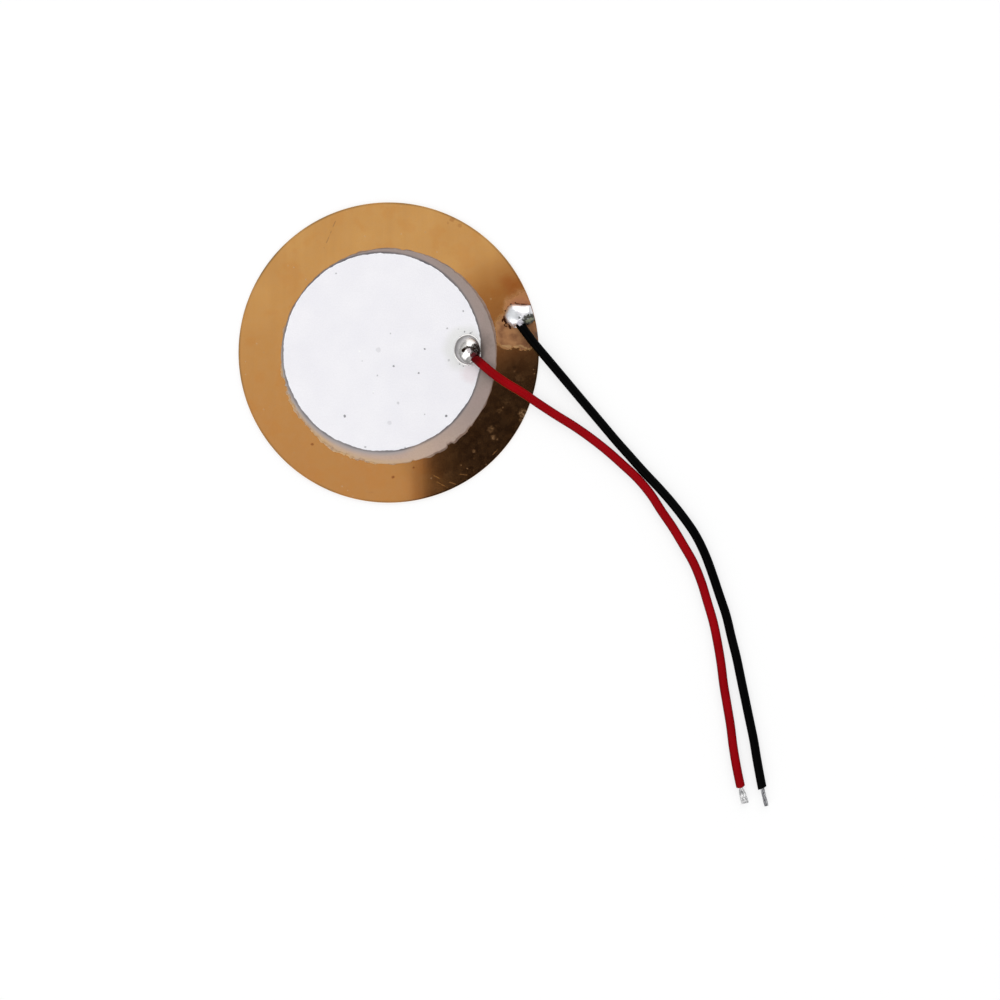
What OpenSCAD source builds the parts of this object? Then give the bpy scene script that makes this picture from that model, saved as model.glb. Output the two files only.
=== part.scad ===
// Piezo disc: a thin brass plate with a silvered ceramic disc bonded on it and two soldered leads.
// Millimetres. The origin is the centre of the plate's underside, which is what the disc rests on.
// +Z points from the plate towards the ceramic. +X and +Y lie along the plate.

/* [Brass plate] */
// Diameter of the plate
plate_d = 35; // [33:0.5:45]
// Thickness of the plate
plate_t = 0.3; // [0.16:0.02:0.34]
// Die roll along the plate's upper edge, left by the blanking punch
edge_roll = 0.04; // [0.01:0.01:0.08]

/* [Ceramic disc] */
// Diameter of the ceramic
ceramic_d = 25; // [20:0.5:27]
// Thickness of the ceramic
ceramic_t = 0.2; // [0.1:0.02:0.24]
// Distance of the ceramic's centre from the plate's centre, along X
ceramic_x = 0; // [-0.8:0.05:0.8]
// Distance of the ceramic's centre from the plate's centre, along Y
ceramic_y = -0.45; // [-0.8:0.05:0.8]
// Thickness of the epoxy film under the ceramic
bond_t = 0.02; // [0.01:0.01:0.06]
// How far the epoxy is squeezed out past the ceramic's edge
bond_rim = 0.1; // [0:0.05:0.3]

/* [Electrodes] */
// Thickness of each fired silver electrode
electrode_t = 0.02; // [0.01:0.01:0.04]
// Width of the bare ceramic round the upper electrode, where the print is centred
bare_rim = 1; // [0.9:0.1:2]
// Distance of the upper electrode's centre from the ceramic's centre, along X
print_x = -0.75; // [-0.8:0.05:0.3]
// Distance of the upper electrode's centre from the ceramic's centre, along Y
print_y = 0.5; // [-0.5:0.05:0.5]

/* [Solder joints] */
// Diameter of the dome on the upper electrode, which reaches the electrode's edge
electrode_solder_d = 3.1; // [2.6:0.1:3.8]
// Height of the dome on the upper electrode
electrode_solder_h = 1.25; // [1:0.05:1.5]
// Direction of the dome from the electrode's centre, in degrees from +X
electrode_solder_angle = 1.5; // [0:0.5:3]
// Diameter of the joint on the plate
plate_solder_d = 3; // [2.6:0.1:3.2]
// Height of the joint on the plate
plate_solder_h = 0.95; // [0.8:0.05:1.4]
// Direction of the joint from the plate's centre, in degrees from +X
plate_solder_angle = 15.7; // [15:0.1:17]
// Bare brass between the joint and the plate's rim
plate_solder_edge = 0.1; // [0:0.05:0.3]

/* [Leads] */
// Outer diameter of each lead's insulation
lead_d = 1.05; // [0.85:0.05:1.1]
// Diameter of one tinned copper strand
strand_d = 0.15; // [0.1:0.01:0.18]
// Gap between neighbouring strands
strand_gap = 0.01; // [0.005:0.005:0.02]
// Clearance between the bundle of strands and the bore of the insulation
bore_gap = 0.015; // [0.01:0.005:0.03]
// Length of one turn of the outer strands round the core strand
strand_lay = 30; // [25:1:60]
// Spread of the red lead's bare strands at their tips, as a share of their pitch in the lead
red_fan = 1.8; // [1:0.1:2.2]
// Spread of the black lead's bare strands at their tips, as a share of their pitch in the lead
black_fan = 1.1; // [1:0.1:2.2]

/* [Hidden] */
STRANDS = [1 : 7];

// Heights of the surfaces in the stack, from the plate's underside up.
bond_top = plate_t + bond_t;
lower_top = bond_top + electrode_t;
ceramic_top = lower_top + ceramic_t;
upper_top = ceramic_top + electrode_t;

// The bundle is one core strand with six round it, and the bore holds all seven.
strand_pitch = strand_d + strand_gap;
bundle_d = 2 * strand_pitch + strand_d;

// Sides of the flat discs, of the solder domes and of the leads' tubes.
disc_sides = 180;
dome_sides = 32;
tube_sides = 8;

// A tube's flats face up and down, so its corners lie further out than its flats.
bore_r = (bundle_d / 2 + bore_gap) / cos(180 / tube_sides);

// The upper electrode is printed a little off centre on the ceramic, as the real print is.
upper_d = ceramic_d - 2 * bare_rim;
upper_at = [ceramic_x + print_x, ceramic_y + print_y];

// Each solder joint lies by the edge of what it is on, in its own direction.
function towards(angle) = [cos(angle), sin(angle)];
electrode_solder_at = upper_at + (upper_d - electrode_solder_d) / 2 * towards(electrode_solder_angle);
plate_solder_at = ((plate_d - plate_solder_d) / 2 - plate_solder_edge) * towards(plate_solder_angle);

// Each lead's route, at the middle of the lead, laid by hand from its solder joint to its bare end.
// The first point is the strands' buried end, the second is where the insulation starts, the last
// but one is where it ends, and the last is the strands' tips. The lead crosses the stack, leaves
// the plate's rim and comes down on the surface that the plate rests on.
red_route = [
    [9.2, 0.3, 1.09], [10, -0.6, 1.09], [11.8, -2.2, 1.1], [13.6, -3.5, 1.02],
    [15.6, -4.7, 0.9], [17.5, -6, 0.78], [19.5, -7.3, 0.66], [21.6, -8.6, 0.56],
    [23.6, -10, 0.53], [25.5, -11.5, 0.53], [27.3, -13.1, 0.53], [29, -14.7, 0.53],
    [30.5, -16.5, 0.53], [31.8, -18.5, 0.53], [33.1, -20.4, 0.53], [34.3, -22.4, 0.53],
    [35.5, -24.5, 0.53], [36.4, -26.7, 0.53], [37.1, -29, 0.53], [37.8, -31.4, 0.53],
    [38.3, -33.8, 0.53], [38.7, -36.2, 0.53], [39, -38.6, 0.53], [39.4, -41, 0.53],
    [39.8, -43.4, 0.53], [40.1, -45.8, 0.53], [40.5, -48.2, 0.53], [41, -50.6, 0.53],
    [41.5, -52.5, 0.5]
];
black_route = [
    [14.8, 3.9, 0.83], [15.4, 3.1, 0.83], [16.9, 1.1, 0.85], [18.5, -0.8, 0.79],
    [20.1, -2.7, 0.67], [21.7, -4.6, 0.57], [23.3, -6.5, 0.53], [24.9, -8.4, 0.53],
    [26.5, -10.3, 0.53], [28.1, -12.1, 0.53], [29.7, -13.9, 0.53], [31.4, -15.7, 0.53],
    [32.9, -17.4, 0.53], [34.4, -19.3, 0.53], [35.7, -21.2, 0.53], [36.8, -23.4, 0.53],
    [37.7, -25.8, 0.53], [38.5, -28.2, 0.53], [39.3, -30.6, 0.53], [39.9, -33.1, 0.53],
    [40.5, -35.5, 0.53], [41, -37.9, 0.53], [41.5, -40.3, 0.53], [42, -42.7, 0.53],
    [42.5, -45.1, 0.53], [42.9, -47.5, 0.53], [43.5, -50.7, 0.53], [44, -52.8, 0.5]
];

// ---- Sweeping a tube along a route ----

function unit(v) = v / norm(v);

// The way a route runs at point i: from the point before it to the point after it.
function ahead(route, i) = unit(route[min(i + 1, len(route) - 1)] - route[max(i - 1, 0)]);
function sideways(route, i) = unit(cross(ahead(route, i), [0, 0, 1]));
function upwards(route, i) = cross(sideways(route, i), ahead(route, i));

// Length of a route from its start to point i.
function run(route, i) = i == 0 ? 0 : run(route, i - 1) + norm(route[i] - route[i - 1]);

// The corners of a tube at point i, off to one side of the route by place = [sideways, upwards].
function ring(route, i, r, place) = [
    for (k = [0 : tube_sides - 1])
        let (a = 360 * (k + 0.5) / tube_sides)
        route[i]
            + (place[0] + r * cos(a)) * sideways(route, i)
            + (place[1] + r * sin(a)) * upwards(route, i)
];

// Triangles of the wall between two rings, whose first corners are a and b in the list of corners.
function wall(a, b) = [
    for (k = [0 : tube_sides - 1])
        let (n = (k + 1) % tube_sides)
        each [[a + k, a + n, b + n], [a + k, b + n, b + k]]
];

// The flat end between the outer ring at a and the inner ring at b.
function rim(a, b) = [
    for (k = [0 : tube_sides - 1])
        let (n = (k + 1) % tube_sides)
        [a + k, b + k, b + n, a + n]
];

function turned(faces) = [for (f = faces) [for (k = [len(f) - 1 : -1 : 0]) f[k]]];

// A solid tube from point first to point last, with one place off the route for each point.
module rod(route, first, last, r, places) {
    rings = last - first;
    polyhedron(
        points = [for (i = [first : last]) each ring(route, i, r, places[i])],
        faces = [
            [for (k = [tube_sides - 1 : -1 : 0]) k],
            for (j = [0 : rings - 1]) each wall(j * tube_sides, (j + 1) * tube_sides),
            [for (k = [0 : tube_sides - 1]) rings * tube_sides + k]
        ]
    );
}

// A hollow tube along the middle of the route.
module sleeve(route, first, last, outer_r, inner_r) {
    rings = last - first;
    inner = (rings + 1) * tube_sides;
    outer_end = rings * tube_sides;
    middle = [0, 0];
    polyhedron(
        points = [
            for (i = [first : last]) each ring(route, i, outer_r, middle),
            for (i = [first : last]) each ring(route, i, inner_r, middle)
        ],
        faces = [
            for (j = [0 : rings - 1]) each wall(j * tube_sides, (j + 1) * tube_sides),
            for (j = [0 : rings - 1])
                each turned(wall(inner + j * tube_sides, inner + (j + 1) * tube_sides)),
            each rim(0, inner),
            each turned(rim(outer_end, inner + outer_end))
        ]
    );
}

function centred(route) = [for (i = [0 : len(route) - 1]) [0, 0]];

// ---- The stack ----

module brass_plate() {
    color([0.75, 0.58, 0.33])
        rotate_extrude($fn = disc_sides)
            polygon([
                [0, 0],
                [plate_d / 2, 0],
                [plate_d / 2, plate_t - edge_roll],
                [plate_d / 2 - edge_roll, plate_t],
                [0, plate_t]
            ]);
}

module bond_film() {
    color([0.62, 0.56, 0.5])
        translate([ceramic_x, ceramic_y, plate_t])
            cylinder(d = ceramic_d + 2 * bond_rim, h = bond_t, $fn = disc_sides);
}

// Fired on the ceramic's whole underside, and glued to the plate, which carries its current.
module lower_electrode() {
    color([0.85, 0.85, 0.87])
        translate([ceramic_x, ceramic_y, bond_top])
            cylinder(d = ceramic_d, h = electrode_t, $fn = disc_sides);
}

module ceramic_disc() {
    color([0.62, 0.56, 0.54])
        translate([ceramic_x, ceramic_y, lower_top])
            cylinder(d = ceramic_d, h = ceramic_t, $fn = disc_sides);
}

module upper_electrode() {
    color([0.94, 0.94, 0.95])
        translate([upper_at[0], upper_at[1], ceramic_top])
            cylinder(d = upper_d, h = electrode_t, $fn = disc_sides);
}

// ---- The solder joints ----

// A cap of a sphere that stands on the surface below it, in flat facets as its lead's socket is.
module solder_cap(d, h) {
    ball_r = (d * d / 4 + h * h) / (2 * h);
    hull()
        intersection() {
            translate([0, 0, h - ball_r]) sphere(r = ball_r, $fn = dome_sides);
            cylinder(d = d, h = h, $fn = dome_sides);
        }
}

// What a lead takes out of its solder joint: the bundle's socket, then the start of the insulation.
module lead_pocket(route) {
    rod(route, 0, 1, bore_r, centred(route));
    rod(route, 1, 2, lead_d / 2, centred(route));
}

module electrode_solder() {
    color([0.8, 0.8, 0.8])
        difference() {
            translate([electrode_solder_at[0], electrode_solder_at[1], upper_top])
                solder_cap(electrode_solder_d, electrode_solder_h);
            lead_pocket(red_route);
        }
}

module plate_solder() {
    color([0.8, 0.8, 0.8])
        difference() {
            translate([plate_solder_at[0], plate_solder_at[1], plate_t])
                solder_cap(plate_solder_d, plate_solder_h);
            lead_pocket(black_route);
        }
}

// ---- The leads ----

module insulation(route) {
    sleeve(route, 1, len(route) - 2, lead_d / 2, bore_r);
}

// Strand 1 is the core, and the other six turn round it. The bare tips fan out sideways.
function strand_places(route, strand, fan) = [
    for (i = [0 : len(route) - 1])
        let (
            turn = 60 * strand + 360 * run(route, i) / strand_lay,
            spread = i == len(route) - 1 ? fan : 1,
            off = strand == 1 ? 0 : strand_pitch
        )
        [off * spread * cos(turn), off * sin(turn)]
];

module strand(route, strand, fan) {
    rod(route, 0, len(route) - 1, strand_d / 2, strand_places(route, strand, fan));
}

module red_insulation() {
    color([0.62, 0.04, 0.07]) insulation(red_route);
}

module black_insulation() {
    color([0.03, 0.03, 0.03]) insulation(black_route);
}

module red_strand(s) {
    color([0.72, 0.72, 0.72]) strand(red_route, s, red_fan);
}

module black_strand(s) {
    color([0.72, 0.72, 0.72]) strand(black_route, s, black_fan);
}

brass_plate();
bond_film();
lower_electrode();
ceramic_disc();
upper_electrode();
electrode_solder();
plate_solder();
red_insulation();
black_insulation();
for (s = STRANDS) red_strand(s);
for (s = STRANDS) black_strand(s);
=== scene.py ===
import math

import bmesh
import bpy
import numpy as np
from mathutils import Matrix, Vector, noise


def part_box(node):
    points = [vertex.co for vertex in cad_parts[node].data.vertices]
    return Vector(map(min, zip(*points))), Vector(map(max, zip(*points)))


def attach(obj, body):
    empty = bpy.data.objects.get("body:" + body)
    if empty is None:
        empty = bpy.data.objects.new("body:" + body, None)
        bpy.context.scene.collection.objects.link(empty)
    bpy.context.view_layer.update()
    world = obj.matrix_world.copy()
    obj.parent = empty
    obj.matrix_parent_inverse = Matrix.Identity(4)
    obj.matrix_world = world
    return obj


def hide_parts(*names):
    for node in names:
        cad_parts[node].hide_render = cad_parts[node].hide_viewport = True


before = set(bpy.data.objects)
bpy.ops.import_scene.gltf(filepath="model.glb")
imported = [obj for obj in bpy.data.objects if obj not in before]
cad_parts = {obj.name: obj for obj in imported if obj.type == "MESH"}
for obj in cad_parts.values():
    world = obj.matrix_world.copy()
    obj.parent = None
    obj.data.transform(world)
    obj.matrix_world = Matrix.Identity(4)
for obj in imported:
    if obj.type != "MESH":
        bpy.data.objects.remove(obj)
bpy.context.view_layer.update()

# ---- Camera ----
# It looks straight down at the part as it lies on a table, with the disc at the upper left and the bare
# ends of the leads at the lower right.
CAMERA_HEIGHT = 0.35
VIEW_CENTRE = (0.01297, -0.01718)
VIEW_WIDTH = 0.1165
PLATE_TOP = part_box("brass_plate")[1].z



def new_object(name, data):
    """A new object at the origin."""
    made = bpy.data.objects.new(name, data)
    bpy.context.collection.objects.link(made)
    return made


camera = new_object("camera", bpy.data.cameras.new("camera"))
camera.data.lens = camera.data.sensor_width * (CAMERA_HEIGHT - PLATE_TOP) / VIEW_WIDTH
camera.data.clip_start = 0.01
camera.data.clip_end = 10
camera.location = (*VIEW_CENTRE, CAMERA_HEIGHT)
bpy.context.scene.camera = camera
bpy.context.scene.view_settings.view_transform = "Standard"


# ---- The leads' insulation ----
# A sleeve of soft PVC on each lead, red for the electrode and black for the plate. It is extruded over the
# strands, stripped by hand at the far end, and drawn back a little at the soldered end, with painted shade
# there.
MM = 0.001
SLEEVE = 0.00105
BORE = 0.00053
SLEEVE_SPACING = 0.0004
SLEEVE_TURNS = 32
OUTSIDE_RINGS = 170
BORE_RINGS = 90
END_LIP = 0.00005
SLANT_REACH = 0.0015
RED_ROUTE = [
    (0.0092, 0.0003, 0.00109), (0.01, -0.0006, 0.00109), (0.0118, -0.0022, 0.0011),
    (0.0136, -0.0035, 0.00102), (0.0156, -0.0047, 0.0009), (0.0175, -0.006, 0.00078),
    (0.0195, -0.0073, 0.00066), (0.0216, -0.0086, 0.00056), (0.0236, -0.01, 0.00053),
    (0.0255, -0.0115, 0.00053), (0.0273, -0.0131, 0.00053), (0.029, -0.0147, 0.00053),
    (0.0305, -0.0165, 0.00053), (0.0318, -0.0185, 0.00053), (0.0331, -0.0204, 0.00053),
    (0.0343, -0.0224, 0.00053), (0.0355, -0.0245, 0.00053), (0.0364, -0.0267, 0.00053),
    (0.0371, -0.029, 0.00053), (0.0378, -0.0314, 0.00053), (0.0383, -0.0338, 0.00053),
    (0.0387, -0.0362, 0.00053), (0.039, -0.0386, 0.00053), (0.0394, -0.041, 0.00053),
    (0.0398, -0.0434, 0.00053), (0.0401, -0.0458, 0.00053), (0.0405, -0.0482, 0.00053),
    (0.041, -0.0506, 0.00053), (0.0415, -0.0525, 0.0005)]
BLACK_ROUTE = [
    (0.0148, 0.0039, 0.00083), (0.0154, 0.0031, 0.00083), (0.0169, 0.0011, 0.00085),
    (0.0185, -0.0008, 0.00079), (0.0201, -0.0027, 0.00067), (0.0217, -0.0046, 0.00057),
    (0.0233, -0.0065, 0.00053), (0.0249, -0.0084, 0.00053), (0.0265, -0.0103, 0.00053),
    (0.0281, -0.0121, 0.00053), (0.0297, -0.0139, 0.00053), (0.0314, -0.0157, 0.00053),
    (0.0329, -0.0174, 0.00053), (0.0344, -0.0193, 0.00053), (0.0357, -0.0212, 0.00053),
    (0.0368, -0.0234, 0.00053), (0.0377, -0.0258, 0.00053), (0.0385, -0.0282, 0.00053),
    (0.0393, -0.0306, 0.00053), (0.0399, -0.0331, 0.00053), (0.0405, -0.0355, 0.00053),
    (0.041, -0.0379, 0.00053), (0.0415, -0.0403, 0.00053), (0.042, -0.0427, 0.00053),
    (0.0425, -0.0451, 0.00053), (0.0429, -0.0475, 0.00053), (0.0435, -0.0507, 0.00053),
    (0.044, -0.0528, 0.0005)]


def smooth_line(route, spacing):
    """Points on a smooth (Catmull-Rom) curve through a route."""
    points = np.array(route)
    points = np.vstack([2 * points[0] - points[1], points, 2 * points[-1] - points[-2]])
    line = []
    for before, start, end, after in zip(points, points[1:], points[2:], points[3:]):
        count = max(2, round(np.linalg.norm(end - start) / spacing))
        for t in np.arange(count) / count:
            bend = (2 * before - 5 * start + 4 * end - after) * t ** 2
            twist = (3 * start - before - 3 * end + after) * t ** 3
            line.append((2 * start + (end - before) * t + bend + twist) / 2)
    line.append(points[-2])
    return np.array(line)


def run_of(line):
    """How far each point of a line is along it."""
    return np.concatenate([[0], np.cumsum(np.linalg.norm(np.diff(line, axis=0), axis=1))])


def read_at(place, run, values):
    """Values known along a line, read at places on it."""
    return np.array([np.interp(place, run, column) for column in values.T])


def level_frame(line):
    """At each point of a line, its direction, the level one across it and the one over both."""
    forward = np.gradient(line, axis=0)
    forward /= np.linalg.norm(forward, axis=1)[:, None]
    across = np.cross(forward, (0, 0, 1))
    across /= np.linalg.norm(across, axis=1)[:, None]
    return forward, across, np.cross(across, forward)


def clean(mesh, turn_faces):
    """Merges doubled points, turns faces outwards if asked, and shades gentle bends smooth."""
    work = bmesh.new()
    work.from_mesh(mesh)
    bmesh.ops.remove_doubles(work, verts=work.verts, dist=0.0000002)
    if turn_faces:
        bmesh.ops.recalc_face_normals(work, faces=work.faces)
    work.to_mesh(mesh)
    work.free()
    mesh.shade_smooth()
    mesh.set_sharp_from_angle(angle=math.radians(40))


def skin(name, rings, poles=()):
    """A closed mesh over rings of points, with a pole at each end or its last ring joined to its first."""
    rows, turns = len(rings), len(rings[0])
    points = np.concatenate([np.reshape(rings, (-1, 3)), np.reshape(poles, (-1, 3))])
    pairs = [(turn, (turn + 1) % turns) for turn in range(turns)]
    faces = []
    for row in range(rows - 1 if len(poles) else rows):
        here, there = row * turns, (row + 1) % rows * turns
        faces += [(here + turn, there + turn, there + after, here + after) for turn, after in pairs]
    if len(poles):
        first_pole, last_pole, last = rows * turns, rows * turns + 1, (rows - 1) * turns
        for turn, after in pairs:
            faces += [(first_pole, turn, after), (last_pole, last + after, last + turn)]
    mesh = bpy.data.meshes.new(name)
    mesh.from_pydata(points.tolist(), [], faces)
    clean(mesh, turn_faces=True)
    return new_object(name, mesh)


def angles_round(count):
    """Even steps round a whole turn."""
    return np.linspace(0, math.tau, count, endpoint=False)


def sleeve(name, line, start_lip, start_cut, end_cut):
    """A tube along a line. Each cut gives how far an end stands proud at an angle round it."""
    run = run_of(line)
    followed = (line, *level_frame(line))
    angles = angles_round(SLEEVE_TURNS)
    half, bore, length = SLEEVE / 2, BORE / 2, run[-1]
    outline = [(0, bore)]
    for angle in np.radians((0, 30, 60, 90)):
        outline.append((start_lip * (1 - math.cos(angle)), half - start_lip * (1 - math.sin(angle))))
    outline += [(place, half) for place in np.linspace(start_lip, length - END_LIP, OUTSIDE_RINGS)[1:-1]]
    for angle in np.radians((90, 45, 0)):
        outline.append((length - END_LIP * (1 - math.cos(angle)), half - END_LIP * (1 - math.sin(angle))))
    outline += [(place, bore) for place in np.linspace(length, 0, BORE_RINGS)[:-1]]
    rings = []
    for place, radius in outline:
        near_start = max(0, 1 - place / SLANT_REACH) ** 2
        near_end = max(0, 1 - (length - place) / SLANT_REACH) ** 2
        moved = place - start_cut(angles) * near_start + end_cut(angles) * near_end
        if radius > bore:
            radius *= 1 + 0.008 * noise.noise(Vector((place * 260, start_lip * 90000, 0)))
        centre, along, side, up = (read_at(moved, run, values) for values in followed)
        past_end = np.maximum(moved - length, 0) + np.minimum(moved, 0)
        offset = radius * (np.cos(angles) * side + np.sin(angles) * up) + past_end * along
        rings.append((centre + offset).T)
    return skin(name, rings)


def spur(angles, where, width, size):
    """A shred of insulation that the cut left at one angle round the tube."""
    away = np.abs((angles - where + math.pi) % math.tau - math.pi)
    return size * np.exp(-((away / width) ** 2))


class Flow:
    """What comes out of a node. Arithmetic on it adds nodes to the same tree."""

    def __init__(self, socket):
        self.socket = socket
        self.tree = socket.id_data

    def __add__(self, other):
        return worked("ADD", self, other)

    def __sub__(self, other):
        return worked("SUBTRACT", self, other)

    def __rsub__(self, other):
        return worked("SUBTRACT", other, self)

    def __mul__(self, other):
        return worked("MULTIPLY", self, other)

    def __truediv__(self, other):
        return worked("DIVIDE", self, other)

    def __rtruediv__(self, other):
        return worked("DIVIDE", other, self)

    def out(self, name):
        """Another output of the same node."""
        return Flow(self.socket.node.outputs[name])

    def feed(self, node, name):
        """Leads it into a node's input."""
        self.tree.links.new(self.socket, node.inputs[name])


def add(tree, kind, inputs=None, **settings):
    """A new node's first output. It is a shader node unless its kind begins with Geometry."""
    node = tree.nodes.new(kind if kind.startswith("Geometry") else "ShaderNode" + kind)
    for name, value in settings.items():
        setattr(node, name, value)
    for name, value in (inputs or {}).items():
        if isinstance(value, Flow):
            value.feed(node, name)
        else:
            node.inputs[name].default_value = value
    return Flow(node.outputs[0])


def worked(operation, *values):
    """One sum, on vectors if the first value from a node is one."""
    flow = next(value for value in values if isinstance(value, Flow))
    kind = "VectorMath" if flow.socket.type in ("VECTOR", "RGBA") else "Math"
    return add(flow.tree, kind, dict(enumerate(values)), operation=operation)


def most(*values):
    """The greatest of several numbers."""
    greatest = values[0]
    for value in values[1:]:
        greatest = worked("MAXIMUM", greatest, value)
    return greatest


def length_of(vector):
    """A vector's length."""
    return worked("LENGTH", vector).out("Value")


def axis(vector, name):
    """One of a vector's three parts."""
    return add(vector.tree, "SeparateXYZ", {0: vector}).out(name)


def slope(value, low, high, bottom=0, top=1):
    """Goes smoothly from bottom, at a low value, to top, at a high one."""
    inputs = {"Value": value, "From Min": low, "From Max": high, "To Min": bottom, "To Max": top}
    return add(value.tree, "MapRange", inputs, interpolation_type="SMOOTHSTEP")


def shade(red, green, blue):
    """A colour in a screen's steps of 255, for a colour socket."""
    steps = (value / 255 for value in (red, green, blue))
    return (*(v / 12.92 if v <= 0.04045 else ((v + 0.055) / 1.055) ** 2.4 for v in steps), 1)


def mixed(share, first, second):
    """One colour changing to another by a share. A plain colour is in steps of 255."""
    first, second = (shade(*colour) if isinstance(colour, tuple) else colour for colour in (first, second))
    return add(share.tree, "Mix", {0: share, 6: first, 7: second}, data_type="RGBA").out(2)


def painted(colour, *coats):
    """A colour under several coats, each with its mask and its own colour."""
    for mask, coat in coats:
        colour = mixed(mask, colour, coat)
    return colour


def new_group(name, inputs, kind="Shader", output_kind="Float"):
    """An empty group: its tree, what comes in by name, and the node that takes its result."""
    tree = bpy.data.node_groups.new(name, kind + "NodeTree")
    for socket, value in inputs.items():
        plain_kind = "Vector" if isinstance(value, tuple) else "Float"
        socket_kind = value if isinstance(value, str) else plain_kind
        made = tree.interface.new_socket(socket, in_out="INPUT", socket_type="NodeSocket" + socket_kind)
        if socket_kind == plain_kind:
            made.default_value = value
    tree.interface.new_socket("Result", in_out="OUTPUT", socket_type="NodeSocket" + output_kind)
    given = {socket.name: Flow(socket) for socket in tree.nodes.new("NodeGroupInput").outputs}
    return tree, given, tree.nodes.new("NodeGroupOutput")


def use(group, place, **values):
    """A shader group's result at a place, with its other inputs by name."""
    return add(place.tree, "Group", {"Place": place, **values}, node_tree=group)


def finish(name, **values):
    """A new material with plain values on its shader: material, shader and place."""
    material = bpy.data.materials.new(name)
    material.use_nodes = True
    shader = material.node_tree.nodes["Principled BSDF"]
    for socket, value in values.items():
        shader.inputs[socket.replace("_", " ")].default_value = value
    return material, shader, add(material.node_tree, "TexCoord").out("Object")


def bump(shader, height, depth):
    """Feeds a height map to a shader's normal, depth metres deep."""
    add(height.tree, "Bump", {"Height": height, "Distance": depth}).feed(shader, "Normal")


# Mottling: cloudy variation of one finish, from 0 to 1, stretched by its own factor on each axis.
mottle, given, result = new_group("mottle", {
    "Place": (0, 0, 0), "Size": 0.001, "Stretch": (1, 1, 1), "Detail": 2, "Contrast": 1})
cloud = add(mottle, "TexNoise", {
    "Vector": given["Place"] / given["Stretch"], "Scale": 1 / given["Size"], "Detail": given["Detail"]})
cloud = (cloud - 0.5) * (given["Contrast"] * 2) + 0.5
cloud.socket.node.use_clamp = True
cloud.feed(result, "Result")


def mottled(place, size, **values):
    """Mottling with clouds of a size in millimetres."""
    return use(mottle, place, Size=size * MM, **values)


def pvc(name, plain, worn, under, joint, gloss):
    """Extruded PVC: faint lines, cloudy colour, and painted shade on its sides and underside and near the
    joint.
    """
    material, shader, place = finish(name, Roughness=0.42, Specular_IOR_Level=gloss)
    along = add(place.tree, "UVMap")
    # The UV map runs from 0 to 1, so these lines are 0.08 of it wide.
    lines = mottled(along, 80, Stretch=(1, 40, 1), Detail=3)
    clouds = mottled(place, 4, Contrast=1.6)
    # Painted shade: darker on the sides and underside, and on the sleeve's first two millimetres at the
    # joint.
    turned_up = worked("SINE", axis(along, "X") * math.tau)
    colour = mixed(slope(turned_up, 0.8, -0.15, 0, 0.85), mixed(clouds, plain, worn), under)
    from_joint = length_of(place - joint) + clouds * 0.0006
    mixed(slope(from_joint, 0.0007, 0.0021, 0.85, 0), colour, under).feed(shader, "Base Color")
    (lines * 0.12 + 0.36).feed(shader, "Roughness")
    bump(shader, lines + mottled(place, 0.12) * 0.5, 0.0000015)
    return material


def lead_sleeve(name, node, route, material, lip, start_cut, end_cut):
    """One lead's sleeve on its route, with a UV map round and along it."""
    line = smooth_line(route, SLEEVE_SPACING)
    first, last = (np.argmin(np.linalg.norm(line - route[k], axis=1)) for k in (1, -2))
    line = line[first:last + 1]
    piece = sleeve(name, line, lip, start_cut, end_cut)
    uv = piece.data.uv_layers.new(name="round_and_along")
    rows = len(piece.data.vertices) // SLEEVE_TURNS
    for face in piece.data.polygons:
        corners = [divmod(piece.data.loops[k].vertex_index, SLEEVE_TURNS) for k in face.loop_indices]
        round_seam = any(column == SLEEVE_TURNS - 1 for ring, column in corners)
        end_seam = any(ring == rows - 1 for ring, column in corners)
        for k, (ring, column) in zip(face.loop_indices, corners):
            column = SLEEVE_TURNS if column == 0 and round_seam else column
            ring = rows if ring == 0 and end_seam else ring
            uv.data[k].uv = (column / SLEEVE_TURNS, ring / rows)
    piece.data.materials.append(material)
    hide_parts(node)
    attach(piece, "root")
    return piece, line


red_pvc = pvc("red_pvc_plain", (154, 4, 14), (142, 3, 11), (64, 3, 6), RED_ROUTE[1], 0.03)
black_pvc = pvc("black_pvc_plain", (1, 1, 1), (4, 4, 4), (1, 1, 1), BLACK_ROUTE[1], 0.02)
red_sleeve, red_line = lead_sleeve(
    "red_lead_sleeve", "red_insulation", RED_ROUTE, red_pvc, 0.00018,
    lambda turn: 0.00022 * np.cos(turn - 0.4) + 0.00004 * np.cos(3 * turn),
    lambda turn: 0.00004 * np.cos(turn) - 0.00006 * np.cos(2 * turn))
black_sleeve, black_line = lead_sleeve(
    "black_lead_sleeve", "black_insulation", BLACK_ROUTE, black_pvc, 0.00012,
    lambda turn: 0.00006 * np.cos(turn) + spur(turn, 0.3, 0.3, 0.00038),
    lambda turn: 0.00008 * np.cos(turn) - 0.00003 * np.cos(2 * turn) + spur(turn, 0.1, 0.12, 0.00014))


# ---- The leads' strands ----
# Seven strands of tinned copper in each lead, one core with six laid round it. The bare ends are twisted
# by hand: the red lead's have sprung apart a little, and the black lead's lie close.
STRAND = 0.00015
PITCH = 0.00016
LAY = 0.03
STRAND_SPACING = 0.0003

strand_tree, given, result = new_group("laid_strand", {
    "Route": "Geometry", "Spacing": STRAND_SPACING, "Strand diameter": STRAND, "Distance from core": PITCH,
    "Lay": LAY, "Start angle": 0.0, "Bare length": 0.002, "Bare twist": 0.0, "Bare spread": 1.0,
    "Tin": "Material"}, "Geometry", "Geometry")


def strand_node(kind, inputs=None, **settings):
    """A new node's first output in the strands' tree."""
    return add(strand_tree, "GeometryNode" + kind, inputs, **settings)


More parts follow.
